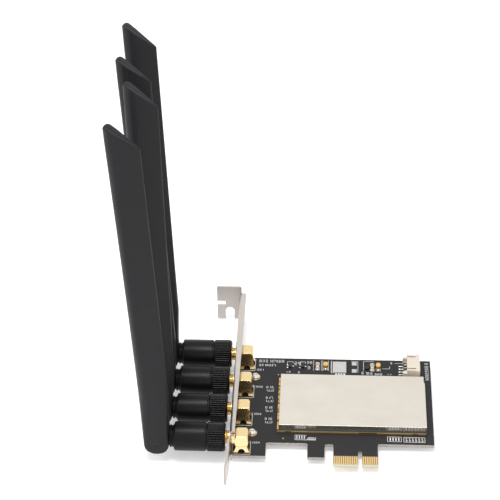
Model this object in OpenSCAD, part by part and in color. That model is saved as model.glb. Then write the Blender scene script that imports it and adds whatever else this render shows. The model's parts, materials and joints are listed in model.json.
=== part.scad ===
// Radio card with a slotted bracket and four hinged paddle antennas, millimetres.
// Sizes are written from the card's own corner: x from the bracket's outer face, y from the
// contacts' edge, z from the board's upper side. seated() then moves all to the bracket's seat.

/* [Board] */
// Board edge farthest from the bracket
board_right = 93.3; // [70:0.1:160]
// Board edge farthest from the contacts
board_far = 72.1; // [50:0.1:110]
// Board thickness
board_t = 1.6; // [1.2:0.1:2.4]
// Gap between the bracket's inner face and the board
board_gap = 0.24; // [0.1:0.01:1]
// Front edge of the board's left foot
foot_y = 5.1; // [0:0.1:12]
// Width of the left foot, measured from the bracket's outer face
foot_x = 16.1; // [8:0.1:30]
// Front edge of the long recess
recess_y = 13.9; // [8:0.1:20]
// Front edge right of the contacts
right_y = 14.4; // [8:0.1:20]
// Left side of the hook
hook_x = 35.2; // [20:0.1:45]
// Width of the hook
hook_w = 7.9; // [4:0.1:12]
// Front edge of the hook
hook_y = 4.9; // [2:0.1:10]
// Centre of the keying notch
key_x = 59.25; // [50:0.01:70]
// Width of the keying notch
key_w = 1.9; // [1.7:0.05:2.2]
// Depth of the keying notch
key_h = 9.2; // [6:0.1:10]
// Radius of the board's inner corners
corner_r = 1; // [0.4:0.1:2]
// Contact tongue left of the notch centre
tongue_left = 12.15; // [12:0.01:12.4]
// Contact tongue right of the notch centre
tongue_right = 8.15; // [8:0.01:60]
// Contact pitch
contact_pitch = 1; // [0.8:0.05:1.27]
// Contact width
contact_w = 0.7; // [0.4:0.05:0.9]
// Contact length
contact_len = 4.7; // [3:0.1:6]
// Contact thickness
contact_t = 0.06; // [0.03:0.01:0.1]
// Bevel length along the contacts
bevel_len = 1.2; // [0.5:0.1:2]
// Bevel depth on each side
bevel_depth = 0.42; // [0.2:0.01:0.6]

/* [Bracket] */
// Bracket length from the tab's outer face to the tongue's tip
bracket_len = 120.02; // [79:0.01:121]
// Bracket width
bracket_w = 18.42; // [17:0.01:19]
// Sheet thickness
sheet_t = 0.86; // [0.7:0.01:1.2]
// Bracket's upper edge above the board
plate_top = 14.2; // [12:0.1:15]
// Outer face of the tab, measured from the contacts' edge
tab_y = 106.4; // [100:0.1:112]
// Tab reach outside the bracket
tab_reach = 11.43; // [10:0.01:12]
// Tab height
tab_h = 20.2; // [18:0.1:22]
// Tab rise above the bracket's edge
tab_rise = 2.4; // [0:0.1:4]
// Width of the screw notch
notch_w = 4.42; // [3.8:0.01:5]
// Centre of the screw notch outside the bracket
notch_x = 5.15; // [4:0.05:7]
// Depth of the screw notch
notch_h = 7.3; // [4:0.1:10]
// Width of the cross slot in the tab
slot_w = 2.7; // [2:0.1:4]
// Depth of the cross slot in the tab
slot_len = 4.1; // [2:0.1:6]
// Width of the tongue
blade_w = 10.19; // [9:0.01:11]
// Outward step of the tongue
jog = 0.9; // [0:0.1:2]
// Shoulder where the tongue starts
shoulder_y = 6; // [0:0.1:12]
// Width of the stiffening lip at the tab's end
lip_w = 3.3; // [1.5:0.1:4]
// Width of the stiffening lip at the tongue's end
lip_low = 2.4; // [1.5:0.1:4]
// Outer radius of the sheet's bends
bend_r = 1.3; // [1:0.05:2]
// Width of each ear under the board
ear_w = 8; // [6:0.1:12]
// Reach of each ear
ear_len = 12.6; // [10:0.1:16]

/* [Bracket screws] */
// Screw thread diameter
screw_d = 2; // [1.6:0.1:3]
// Screw head diameter
head_d = 4; // [3:0.1:5.5]
// Screw head height
head_h = 1.5; // [1:0.1:2.5]
// Screw length under the head
screw_len = 4; // [3:0.5:8]
// Screw row behind the bracket
screw_x = 9.4; // [7:0.1:12]
// First screw
screw_y1 = 19.95; // [15:0.05:30]
// Second screw
screw_y2 = 58.3; // [40:0.05:70]
// Radial clearance of the screws in the board
screw_clear = 0.15; // [0.05:0.01:0.5]
// Radial play of the screw thread in the ears
thread_play = 0.02; // [0:0.01:0.1]

/* [Jacks] */
// First jack from the contacts' edge
jack_y = 10.05; // [9:0.05:16]
// Jack pitch
jack_pitch = 19; // [16:0.05:25]
// Jack axis above the board
axis_z = 6.6; // [5.5:0.05:7.5]
// Side of the square jack block
block_w = 6.4; // [6:0.05:8]
// Length of the square jack block
block_len = 5.9; // [4:0.1:8]
// Front of the square jack block behind the bracket's outer face
block_x = 2.2; // [1.5:0.1:3]
// Length of the turned chamfers on the block's ends
block_cut = 0.8; // [0.2:0.05:1.5]
// Side of the jack's footed base on the board
base_w = 7.4; // [6.5:0.1:9]
// Width of the arches between the feet
arch_w = 3.2; // [2:0.1:4]
// Height of the arches between the feet
arch_h = 2.2; // [1:0.1:3]
// Barrel diameter
barrel_d = 6.35; // [6:0.01:6.4]
// Barrel reach outside the bracket
barrel_len = 8.65; // [7:0.05:12]
// Mouth diameter
mouth_d = 4.6; // [4.5:0.01:4.7]
// Mouth depth
mouth_h = 2; // [1.8:0.1:3]
// Insulator diameter
insulator_d = 4.1; // [3:0.05:4.2]
// Centre contact diameter
contact_d = 1.28; // [1.2:0.01:1.4]
// Radial play of the thread on the barrel
barrel_play = 0.04; // [0.02:0.01:0.1]

/* [Antennas] */
// Coupling nut diameter
grip_d = 13.4; // [10:0.1:15]
// Coupling nut front end, outside the bracket
grip_x = 2.1; // [1.2:0.05:5]
// Coupling nut length
grip_len = 8.3; // [7:0.1:12]
// Threaded insert diameter
insert_d = 9.2; // [8:0.1:10]
// Swivel body diameter
swivel_d = 13.1; // [10:0.1:15]
// Swivel body length
swivel_len = 14.4; // [10:0.1:20]
// Gap between coupling nut and swivel body
swivel_gap = 0.65; // [0.3:0.05:1.5]
// Neck diameter
neck_d = 10.4; // [8:0.1:12]
// Neck length
neck_len = 2; // [1:0.1:4]
// Hinge axis beyond the swivel body
hinge_dx = 7.9; // [6.5:0.05:10]
// Hinge pin diameter
pin_d = 2.5; // [1.5:0.1:4]
// Hinge tongue thickness
tongue_t = 4.4; // [3:0.1:6]
// Play each side of the hinge tongue
tongue_play = 0.08; // [0.05:0.01:0.3]
// Running clearance of the hinge and swivel
run_clear = 0.05; // [0.02:0.01:0.1]
// Radius of the paddle's round foot
foot_r = 5.5; // [5:0.1:7]
// Paddle length from hinge to nose
paddle_len = 180; // [80:1:260]
// Height lost along the slanted tip
tip_drop = 13.2; // [0:0.1:20]
// Paddle nose, greatest distance from its axis
nose_x = 6.2; // [5.5:0.1:8]
// Paddle tail, greatest distance from its axis
tail_x = 7.3; // [5.5:0.1:10]
// Paddle thickness at the foot
paddle_t0 = 12.4; // [9:0.1:14]
// Paddle thickness at the tip
paddle_t1 = 6; // [4:0.1:9]
// Radiating strip width
strip_w = 4; // [2:0.1:5]
// Radiating strip thickness
strip_t = 0.8; // [0.4:0.1:1.2]
// Backward lean of the first paddle, counted from the contacts' end
lean1 = -3.6; // [-4:0.1:0]
// Backward lean of the second paddle
lean2 = 0; // [-1:0.1:1]
// Backward lean of the third paddle
lean3 = 0; // [-1:0.1:1]
// Backward lean of the fourth paddle
lean4 = 2.8; // [0:0.1:4]
// Outward lean of the first, third and fourth paddle
out_lean = 2; // [0:0.1:3]
// Outward lean of the second paddle
out_lean2 = 0.4; // [0:0.1:3]

/* [Radio module] */
// Module board, left side
module_x = 20.9; // [16:0.1:30]
// Module board, front side
module_y = 20.4; // [17:0.1:30]
// Module board width
module_w = 69.3; // [40:0.1:72]
// Module board depth
module_d = 36.6; // [25:0.1:40]
// Module board thickness
module_t = 1.35; // [0.8:0.05:1.6]
// Shield inset from the module board's left, front and far side
shield_in = 0.85; // [0.3:0.05:2]
// Shield inset from the module board's right side
shield_right = 0.25; // [0.1:0.05:2]
// Length of the shield's tapered far corner
taper_len = 4.9; // [1:0.1:8]
// Depth of the shield's tapered far corner
taper_w = 0.5; // [0.1:0.1:2]
// Shield height
shield_h = 3; // [1.5:0.1:5]
// Shield wall
shield_t = 0.3; // [0.2:0.05:0.5]
// Depth of the slots in the module board's edge
slit_depth = 0.5; // [0.2:0.1:1]
// Skin left above and below those slots
slit_skin = 0.3; // [0.1:0.05:0.5]
// Pitch of the gaps along the module board's left side
gap_pitch = 7; // [3:0.1:10]
// Width of those gaps
gap_w = 0.9; // [0.3:0.1:2]

/* [Header] */
// Header, side nearest the bracket
header_x = 81.9; // [60:0.1:86]
// Header centre from the contacts' edge
header_y = 64.75; // [60:0.05:68]
// Header depth
header_w = 6.1; // [4:0.1:8]
// Header length
header_len = 12.2; // [10:0.1:16]
// Header height
header_h = 5.5; // [3:0.1:8]
// Header pin pitch
pin_pitch = 2; // [1.25:0.05:2.54]
// Header pin side
pin_w = 0.5; // [0.4:0.05:0.7]
// Header wall
header_wall = 0.8; // [0.6:0.05:1.2]
// Width of the two slots in the header's top
key_slot = 0.8; // [0.4:0.05:1]
// Depth of the pockets in the header's ends
pocket = 0.35; // [0.1:0.05:0.5]

/* [Small parts] */
// Row of small parts, from the board's far edge
part_row = 5.5; // [3:0.1:10]
// Transistors behind the bracket
transistor_x = [25.9, 31.9];
// Tantalum capacitors behind the bracket
tantalum_x = [43, 68.3];
// Ceramic capacitors behind the bracket
ceramic_x = [39.1, 65.4];
// Round part behind the bracket
round_x = 62.8; // [30:0.1:80]
// Resistors behind the bracket
resistor_x = 17; // [12:0.1:25]
// Resistors from the contacts' edge
resistor_y = [27.3, 35, 41.7, 49.1];

/* [Hidden] */
seat_drop = 4.2;
seat = [-notch_x, tab_y - sheet_t, plate_top - seat_drop];
board_left = sheet_t + board_gap;
plate_low = plate_top - bracket_w;
blade_top = plate_top - (bracket_w - blade_w) / 2;
tab_top = plate_top + tab_rise;
tab_low = tab_top - tab_h;
tip_y = tab_y - bracket_len;
kink_y = (shoulder_y + tip_y) / 2 - 1;
relief_w = key_x - tongue_left - hook_x - hook_w;
barrel_hole = barrel_d + 0.3;
block_z = axis_z - block_w / 2;
block_mid = block_x + block_len / 2;
leg_r = 0.55;
collar_d = 2.6;
leg_at = 2.7;
tail_d = 0.9;
mouth_x = -barrel_len;
flange_h = 0.8;
flange_d = barrel_d - 0.25;
plug_neck_d = 4.9;
boss_d = 10.8;
boss_gap = 0.1;
plug_tail_d = 5.6;
grip_end = -grip_x - grip_len;
swivel_x = grip_end - swivel_gap;
swivel_end = swivel_x - swivel_len;
hinge_x = swivel_end - hinge_dx;
tongue_r = 4.3;
slot_t = tongue_t + 2 * tongue_play;
leans = [lean1, lean2, lean3, lean4];
outs = [out_lean, out_lean2, out_lean, out_lean];
shield_x = module_x + shield_in;
shield_y = module_y + shield_in;
shield_w = module_w - shield_in - shield_right;
shield_d = module_d - 2 * shield_in;
row_y = board_far - part_row;
lip_gap = 2.5;
lip_len = tab_y - shoulder_y - lip_gap;

module seated() {
  translate(-seat) children();
}
function jack_at(i) = jack_y + (i - 1) * jack_pitch;
module rod_x(x0, x1, d, fn = 48) {
  translate([x0, 0, 0]) rotate([0, 90, 0]) cylinder(h = x1 - x0, d = d, $fn = fn);
}
module at_jack(i) {
  seated() translate([0, jack_at(i), axis_z]) children();
}
module at_swivel(i) {
  at_jack(i) rotate([-leans[i - 1], 0, 0]) children();
}
module at_hinge(i) {
  at_swivel(i) translate([hinge_x, 0, 0]) rotate([0, -outs[i - 1], 0]) children();
}

// Board outline with foot, recess, hook and keyed contact tongue
module inner_corner(x, y, side) {
  translate([x, y]) difference() {
    translate([side > 0 ? -0.5 : -corner_r, -corner_r]) square(corner_r + 0.5);
    translate([side * corner_r, -corner_r]) circle(r = corner_r, $fn = 32);
  }
}
module board_outline() {
  tl = key_x - tongue_left;
  tr = key_x + tongue_right;
  relief_y = recess_y - 0.3;
  inner_corner(foot_x, recess_y, 1);
  inner_corner(hook_x, recess_y, -1);
  inner_corner(tr, right_y, 1);
  inner_corner(tl - relief_w, relief_y, 1);
  inner_corner(tl, relief_y, -1);
  difference() {
    polygon([[board_left, foot_y], [foot_x, foot_y], [foot_x, recess_y], [hook_x, recess_y],
      [hook_x, hook_y], [hook_x + hook_w, hook_y], [hook_x + hook_w, 0], [tr, 0],
      [tr, right_y], [board_right, right_y], [board_right, board_far],
      [board_left, board_far]]);
    translate([tl - relief_w, -1]) square([relief_w, relief_y + 1]);
    translate([key_x - key_w / 2, -1]) square([key_w, key_h - key_w / 2 + 1]);
    translate([key_x, key_h - key_w / 2]) circle(d = key_w, $fn = 32);
  }
}
module bevel_cut(side) {
  z = side > 0 ? 0 : -board_t;
  translate([key_x, 0, z]) rotate([0, 90, 0])
    linear_extrude(height = 40, center = true)
      polygon([[side * 0.5, -0.5], [side * -bevel_depth, -0.5], [side * -bevel_depth, 0],
        [0, bevel_len], [side * 0.5, bevel_len]]);
}
module main_board() {
  color("#26272a") seated() difference() {
    translate([0, 0, -board_t]) linear_extrude(height = board_t) board_outline();
    bevel_cut(1);
    bevel_cut(-1);
    for (y = [screw_y1, screw_y2])
      translate([screw_x, y, -board_t - 1])
        cylinder(h = board_t + 2, d = screw_d + 2 * screw_clear, $fn = 32);
    for (i = [1:4]) translate([block_mid, jack_at(i), -board_t - 1]) {
      for (a = [-1, 1]) for (b = [-1, 1])
        translate([a * leg_at, b * leg_at, 0])
          cylinder(h = board_t + 2, r = leg_r + 0.02, $fn = 16);
      cylinder(h = board_t + 2, d = tail_d + 0.04, $fn = 16);
    }
  }
}
module contact_row(z) {
  for (k = [0:10])
    translate([key_x - 1.5 - k * contact_pitch - contact_w / 2, bevel_len, z])
      cube([contact_w, contact_len, contact_t]);
  for (k = [0:6])
    translate([key_x + 1.5 + k * contact_pitch - contact_w / 2, bevel_len, z])
      cube([contact_w, contact_len, contact_t]);
}
module edge_contacts() {
  color("#d9a441") seated() {
    contact_row(0);
    contact_row(-board_t - contact_t);
  }
}

// Bent sheet: plate, lip, ears, slotted tab and stepped tongue
module lip_bend() {
  translate([bend_r, shoulder_y, plate_top - bend_r]) rotate([-90, 0, 0]) intersection() {
    difference() {
      cylinder(h = lip_len, r = bend_r, $fn = 48);
      translate([0, 0, -1]) cylinder(h = lip_len + 2, r = bend_r - sheet_t, $fn = 48);
    }
    translate([-bend_r, -bend_r, 0]) cube([bend_r + 0.01, bend_r + 0.01, lip_len]);
  }
}
module bracket() {
  color("#c9c6c2") seated() difference() {
    union() {
      translate([0, shoulder_y, plate_low])
        cube([sheet_t, tab_y - shoulder_y, bracket_w - bend_r]);
      translate([0, tab_y - lip_gap - 0.01, plate_top - bend_r - 0.01])
        cube([sheet_t, lip_gap + 0.01, bend_r + 0.01]);
      lip_bend();
      translate([bend_r, shoulder_y, plate_top - sheet_t]) linear_extrude(height = sheet_t)
        polygon([[0, 0], [lip_low - bend_r, 0], [lip_w - bend_r, lip_len], [0, lip_len]]);
      translate([-tab_reach, tab_y - sheet_t, tab_low])
        cube([tab_reach + sheet_t, sheet_t, tab_h]);
      for (y = [screw_y1, screw_y2])
        translate([0, y - ear_w / 2, -board_t - sheet_t]) cube([ear_len, ear_w, sheet_t]);
      translate([0, 0, blade_top - blade_w]) linear_extrude(height = blade_w)
        polygon([[-jog, shoulder_y - 1], [0, shoulder_y], [sheet_t, shoulder_y + 0.2],
          [sheet_t, shoulder_y], [sheet_t - jog, shoulder_y - 1.4], [sheet_t - jog, kink_y],
          [sheet_t - jog - 0.8, tip_y], [-jog - 0.8, tip_y], [-jog, kink_y]]);
    }
    for (i = [1:4]) translate([0, jack_at(i), axis_z]) rod_x(-2, 2, barrel_hole, 32);
    for (y = [screw_y1, screw_y2]) translate([screw_x, y, -board_t - 2])
      cylinder(h = 4, d = screw_d + 2 * thread_play, $fn = 32);
    translate([-notch_x - notch_w / 2, tab_y - 2, tab_low - 1])
      cube([notch_w, 4, notch_h - notch_w / 2 + 1]);
    translate([-notch_x, tab_y + 2, tab_low + notch_h - notch_w / 2]) rotate([90, 0, 0])
      cylinder(h = 4, d = notch_w, $fn = 32);
    translate([-tab_reach - 1, tab_y - 2, 4.95]) cube([slot_len + 1, 4, slot_w]);
    translate([sheet_t - bend_r, tab_y - bend_r, plate_low - 1]) difference() {
      cube([bend_r + 1, bend_r + 1, 2 * bracket_w]);
      cylinder(h = 2 * bracket_w, r = bend_r, $fn = 48);
    }
  }
}
module screw(y) {
  translate([screw_x, y, 0]) difference() {
    union() {
      cylinder(h = head_h * 0.55, d = head_d, $fn = 48);
      translate([0, 0, head_h * 0.55])
        cylinder(h = head_h * 0.45, d1 = head_d, d2 = head_d * 0.62, $fn = 48);
      translate([0, 0, -screw_len]) cylinder(h = screw_len, d = screw_d, $fn = 32);
    }
    for (a = [0, 90]) rotate([0, 0, a])
      translate([-head_d * 0.28, -0.22, head_h * 0.45]) cube([head_d * 0.56, 0.44, head_h]);
  }
}
module bracket_screws() {
  color("#cfcfd2") seated() {
    screw(screw_y1);
    screw(screw_y2);
  }
}

// Right-angle jack: barrel, square block with turned ends, arched base and four legs
module turned_block() {
  translate([block_x, 0, 0]) rotate([0, 90, 0]) cylinder(h = block_len, d = block_w * 1.37, $fn = 48);
}
module turned_ends() {
  translate([block_x, 0, 0]) rotate([0, 90, 0]) union() {
    cylinder(h = block_cut, d1 = block_w * 1.13, d2 = block_w * 1.39, $fn = 48);
    translate([0, 0, block_cut])
      cylinder(h = block_len - 2 * block_cut, d = block_w * 1.39, $fn = 48);
    translate([0, 0, block_len - block_cut])
      cylinder(h = block_cut, d1 = block_w * 1.39, d2 = block_w * 1.13, $fn = 48);
  }
}
module antenna_jack(i) {
  color("#dcae55") at_jack(i) difference() {
    union() {
      rod_x(mouth_x, block_x + 0.5, barrel_d);
      intersection() {
        translate([block_x, -block_w / 2, -block_w / 2]) cube([block_len, block_w, block_w]);
        turned_block();
        turned_ends();
      }
      translate([block_mid - base_w / 2, -base_w / 2, -axis_z]) cube([base_w, base_w, 1.5]);
      translate([block_mid - block_len / 2 + 0.15, -block_w / 2 + 0.1, -axis_z])
        cube([block_len - 0.3, block_w - 0.2, block_z + 0.15]);
      for (a = [-1, 1]) for (b = [-1, 1])
        translate([block_mid + a * leg_at, b * leg_at, -axis_z - board_t - 0.8])
          cylinder(h = board_t + 2, r = leg_r, $fn = 16);
    }
    rod_x(mouth_x - 1, mouth_x + mouth_h, mouth_d);
    rod_x(mouth_x, block_mid + insulator_d / 2, insulator_d);
    translate([block_mid, 0, -axis_z - 1]) cylinder(h = axis_z + 1, d = collar_d, $fn = 32);
    for (a = [0, 90]) translate([block_mid, 0, -axis_z]) rotate([0, 0, a])
      scale([1, 1, 2 * arch_h / arch_w]) rod_x(-6, 6, arch_w, 32);
  }
}
module jack_insulator() {
  difference() {
    union() {
      rod_x(mouth_x + mouth_h, block_mid + insulator_d / 2, insulator_d);
      translate([block_mid, 0, arch_h + 0.1 - axis_z])
        cylinder(h = axis_z - arch_h - 0.1, d = collar_d, $fn = 32);
    }
    rod_x(mouth_x, block_mid + contact_d / 2 + 0.02, contact_d + 0.04);
    translate([block_mid, 0, -axis_z]) cylinder(h = axis_z, d = tail_d + 0.04, $fn = 16);
  }
}
module jack_insulators() {
  color("#f1efe8") for (i = [1:4]) at_jack(i) jack_insulator();
}
module jack_pin() {
  difference() {
    union() {
      rod_x(mouth_x + mouth_h, block_mid + contact_d / 2, contact_d, 24);
      translate([block_mid, 0, -axis_z - board_t - 0.7])
        cylinder(h = axis_z + board_t + 0.7, d = tail_d, $fn = 16);
    }
    rod_x(mouth_x, mouth_x + mouth_h + 2.6, 1, 16);
  }
}
module jack_pins() {
  color("#e3bb62") for (i = [1:4]) at_jack(i) jack_pin();
}

// Hinged antenna
module coupling_nut(i) {
  color("#17181a") at_jack(i) difference() {
    union() {
      translate([grip_end, 0, 0]) rotate([0, 90, 0])
        cylinder(h = 0.5, d1 = grip_d - 1, d2 = grip_d, $fn = 64);
      rod_x(grip_end + 0.5, -grip_x - 0.9, grip_d, 64);
      translate([-grip_x - 0.9, 0, 0]) rotate([0, 90, 0])
        cylinder(h = 0.9, d1 = grip_d, d2 = grip_d - 1.8, $fn = 64);
    }
    rod_x(grip_end - 1, 0, insert_d);
  }
}
module nut_insert(i) {
  color("#c99a3f") at_jack(i) difference() {
    rod_x(grip_end, -grip_x, insert_d);
    rod_x(grip_end + 0.7, 0, barrel_d + 2 * barrel_play);
    rod_x(grip_end - 1, 0, plug_neck_d + 2 * run_clear);
  }
}
module plug_shell(i) {
  face = mouth_x - 0.05;
  color("#caa14c") at_swivel(i) difference() {
    union() {
      rod_x(face - 0.01, mouth_x + mouth_h - 0.1, mouth_d - 2 * run_clear);
      rod_x(face - flange_h, face, flange_d);
      rod_x(swivel_x - 0.5, face, plug_neck_d);
      rod_x(swivel_x - 9, swivel_x, plug_tail_d);
    }
    rod_x(swivel_x - 10, 0, 3.2, 32);
  }
}
module plug_pin(i) {
  color("#e3bb62") at_swivel(i) union() {
    rod_x(mouth_x - 1.2, mouth_x + mouth_h + 2.2, 0.92, 24);
    rod_x(swivel_x - 8, mouth_x - 1.2, 3.2, 32);
  }
}
module swivel_body(i) {
  color("#1b1c1e") at_swivel(i) difference() {
    union() {
      rod_x(swivel_end + 0.6, swivel_x - 0.6, swivel_d, 64);
      translate([swivel_x - 0.6, 0, 0]) rotate([0, 90, 0])
        cylinder(h = 0.6, d1 = swivel_d, d2 = swivel_d - 1.2, $fn = 64);
      translate([swivel_end, 0, 0]) rotate([0, 90, 0])
        cylinder(h = 0.6, d1 = swivel_d - 1.2, d2 = swivel_d, $fn = 64);
      rod_x(swivel_x - 0.7, grip_end - boss_gap, boss_d);
      rod_x(swivel_end - neck_len, swivel_end + 1, neck_d);
      translate([hinge_x, -tongue_t / 2, -tongue_r])
        cube([swivel_end - hinge_x, tongue_t, 2 * tongue_r]);
      translate([hinge_x, tongue_t / 2, 0]) rotate([90, 0, 0])
        cylinder(h = tongue_t, r = tongue_r, $fn = 48);
    }
    rod_x(swivel_x - 9, swivel_x + 1, plug_tail_d);
    rod_x(swivel_end - neck_len - 0.5, swivel_x, 2.2, 24);
    translate([hinge_x, 10, 0]) rotate([90, 0, 0])
      cylinder(h = 20, d = pin_d + 2 * run_clear, $fn = 32);
  }
}
module hinge_pin(i) {
  color("#2a2b2d") at_hinge(i) rotate([90, 0, 0])
    cylinder(h = paddle_t0 - 1.6, d = pin_d, center = true, $fn = 32);
}

// Paddle: lofted half sections cut to the side view
stations = [-7, 0, 6, 15, 26, 50, 90, 130, 165, 185];
function mix(a, b, k) = a + (b - a) * k;
function grow(z) = min(1, max(0, (z + 2) / (paddle_len - 10)));
function left_x(z) = foot_r + (nose_x - foot_r) * pow(grow(z), 2.2);
function right_x(z) = mix(foot_r - 0.1, tail_x, min(1, max(0, (z - 6) / 20)));
function half_t(z) = mix(paddle_t0, paddle_t1, pow(grow(z), 0.75)) / 2;
function tear(u) = u < 0.28 ? sqrt(1 - pow((0.28 - u) / 0.28, 2)) : 1 - 0.84 * (u - 0.28) / 0.72;
function boxy(u) = pow(max(0, 1 - pow(abs(2 * u - 1), 3)), 1 / 3);
function shape(u, z) = mix(boxy(u), tear(u), min(1, max(0, z / 60)));
us = [0, 0.02, 0.07, 0.15, 0.28, 0.46, 0.64, 0.82, 0.94, 1];
function rib(z, s) = concat(
  [for (u = us) [mix(-left_x(z), right_x(z), u),
    s * (u == 0 ? 0 : u == 1 ? max(0.3, shape(1, z) * half_t(z)) : shape(u, z) * half_t(z)), z]],
  [[right_x(z), 0, z]]);
module half_loft(s) {
  n = len(us) + 1;
  m = len(stations);
  pts = [for (z = stations) each rib(z, s)];
  low = [for (j = [0:n - 1]) j];
  top = [for (j = [0:n - 1]) (m - 1) * n + n - 1 - j];
  side = [for (k = [0:m - 2]) for (j = [0:n - 1]) each [
    [k * n + j, (k + 1) * n + j, (k + 1) * n + (j + 1) % n],
    [k * n + j, (k + 1) * n + (j + 1) % n, k * n + (j + 1) % n]]];
  faces = concat([low], [top], side);
  polyhedron(points = pts, faces = s > 0 ? [for (f = faces) [for (q = [len(f) - 1:-1:0]) f[q]]]
    : faces, convexity = 4);
}
module side_view() {
  rotate([90, 0, 0]) linear_extrude(height = 20, center = true)
    polygon(concat(
      [for (a = [180:15:360]) [foot_r * cos(a), foot_r * sin(a)]],
      [[tail_x + 1, 3], [tail_x + 1, paddle_len - tip_drop - 1.3],
        [-nose_x + 5.4, paddle_len - 1.4]],
      [for (a = [55:25:180]) [-nose_x + 3.4 + 3.4 * cos(a), paddle_len - 4.2 + 3.8 * sin(a)]],
      [[-nose_x - 1, paddle_len - 6], [-nose_x - 1, 3]]));
}
module paddle_half(s) {
  difference() {
    intersection() {
      half_loft(s);
      side_view();
    }
    translate([-20, -slot_t / 2, -20]) cube([40, slot_t, 20 + tongue_r + 1.2]);
    rotate([90, 0, 0])
      cylinder(h = paddle_t0 - 1.6, d = pin_d, center = true, $fn = 32);
    difference() {
      translate([-2.6, -1.7, 9]) cube([5.2, 3.4, 146]);
      for (z = [14, 60, 106, 150]) translate([-4, s > 0 ? strip_t / 2 : -4, z])
        cube([8, 4 - strip_t / 2, 1.6]);
    }
  }
}
module paddle_front(i) {
  color("#1c1d1f") at_hinge(i) paddle_half(-1);
}
module paddle_back(i) {
  color("#1c1d1f") at_hinge(i) paddle_half(1);
}
module radiator(i) {
  color("#b87333") at_hinge(i) translate([-strip_w / 2, -strip_t / 2, 10])
    cube([strip_w, strip_t, 144]);
}

// Shielded radio module
module module_board() {
  color("#20241f") seated() translate([module_x, module_y, 0]) difference() {
    cube([module_w, module_d, module_t]);
    for (x = [[3.8, 2.8], [37.9, 8.3], [62.5, 2.7]])
      translate([x[0], -1, slit_skin]) cube([x[1], slit_depth + 1, module_t - 2 * slit_skin]);
    for (k = [1:4]) translate([-1, k * gap_pitch - gap_w / 2, -1])
      cube([slit_depth + 1, gap_w, module_t + 2]);
  }
}
module shield_outline() {
  polygon([[0, 0], [shield_w, 0], [shield_w, shield_d - taper_len],
    [shield_w - taper_w, shield_d - taper_len + 1], [shield_w - taper_w, shield_d],
    [0, shield_d]]);
}
module module_shield() {
  color("#d6d0c4") seated() translate([shield_x, shield_y, module_t]) difference() {
    linear_extrude(height = shield_h) shield_outline();
    translate([0, 0, -1]) linear_extrude(height = shield_h + 1 - shield_t)
      offset(delta = -shield_t) shield_outline();
  }
}
module module_chips() {
  color("#18181a") seated() translate([module_x, module_y, module_t]) {
    translate([30, 12, 0]) cube([12, 12, 1.2]);
    translate([46, 14, 0]) cube([5, 3.2, 1]);
    for (k = [0:3]) translate([8, 5 + k * 7.4, 0]) cube([4, 4, 0.9]);
    for (k = [0:3]) translate([15, 5 + k * 7.4, 0]) cube([3, 3, 0.9]);
    translate([56, 8, 0]) cube([4, 4, 1.6]);
    translate([56, 20, 0]) cube([4, 4, 1.6]);
  }
}

// Side-entry header
module header_housing() {
  y0 = -header_len / 2;
  color("#e9e2cc") seated() translate([header_x, header_y, 0]) difference() {
    union() {
      translate([0, y0, 0]) cube([header_w, header_len, header_h]);
      for (s = [-1, 1]) translate([-2, s * (header_len / 2 - 0.8) - 0.8, 0])
        cube([2.5, 1.6, header_h - 1.6]);
    }
    translate([1.5, y0 + header_wall, header_wall])
      cube([header_w, header_len - 2 * header_wall, header_h - 2 * header_wall]);
    for (s = [-1, 1]) translate([-1, s * 4.2 - key_slot / 2, header_h - header_wall - 1])
      cube([5.2, key_slot, 3]);
    for (s = [-1, 1]) translate([0.5, s * header_len / 2 - pocket, header_wall])
      cube([header_w - 2.3, 2 * pocket, header_h]);
    for (k = [0:3]) translate([-3, (k - 1.5) * pin_pitch - pin_w / 2, 2.75 - pin_w / 2])
      cube([6, pin_w, pin_w]);
  }
}
module header_pins() {
  color("#c8c6c0") seated() translate([header_x, header_y, 0])
    for (k = [0:3]) translate([0, (k - 1.5) * pin_pitch - pin_w / 2, 0]) {
      translate([-0.9, 0, 2.75 - pin_w / 2]) cube([5.9, pin_w, pin_w]);
      translate([-1.4, 0, 0]) cube([pin_w, pin_w, 2.75 + pin_w / 2]);
      translate([-3.6, 0, 0]) cube([2.3, pin_w, 0.3]);
    }
}

// Small parts on the board
module block_at(x, y, sx, sy, sz) {
  translate([x - sx / 2, y - sy / 2, 0]) cube([sx, sy, sz]);
}
module transistors() {
  color("#141416") seated() for (x = transistor_x) {
    block_at(x, row_y, 1.3, 2.9, 1);
    for (s = [-0.95, 0.95]) block_at(x - 0.95, row_y + s, 0.8, 0.4, 0.15);
    block_at(x + 0.95, row_y, 0.8, 0.4, 0.15);
  }
}
module tantalum_capacitors() {
  color("#c9a24a") seated() for (x = tantalum_x) block_at(x, row_y + 0.4, 1.8, 3.2, 1.6);
}
module ceramic_capacitors() {
  color("#b98f73") seated() for (x = ceramic_x) block_at(x, row_y + 0.2, 1.6, 3.2, 1.3);
}
module resistors() {
  color("#6b5a49") seated() for (y = resistor_y) block_at(resistor_x, y, 1, 0.5, 0.4);
}
module round_inductor() {
  color("#18181a") seated() translate([round_x, row_y - 0.8, 0]) cylinder(h = 1, d = 2.2, $fn = 32);
}
main_board();
edge_contacts();
bracket();
bracket_screws();
antenna_jack(1);  // antenna_jack_1
antenna_jack(2);  // antenna_jack_2
antenna_jack(3);  // antenna_jack_3
antenna_jack(4);  // antenna_jack_4
jack_insulators();
jack_pins();
module_board();
module_shield();
module_chips();
header_housing();
header_pins();
transistors();
tantalum_capacitors();
ceramic_capacitors();
resistors();
round_inductor();
coupling_nut(1);  // coupling_nut_1
coupling_nut(2);  // coupling_nut_2
coupling_nut(3);  // coupling_nut_3
coupling_nut(4);  // coupling_nut_4
nut_insert(1);  // nut_insert_1
nut_insert(2);  // nut_insert_2
nut_insert(3);  // nut_insert_3
nut_insert(4);  // nut_insert_4
swivel_body(1);  // swivel_body_1
swivel_body(2);  // swivel_body_2
swivel_body(3);  // swivel_body_3
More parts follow.
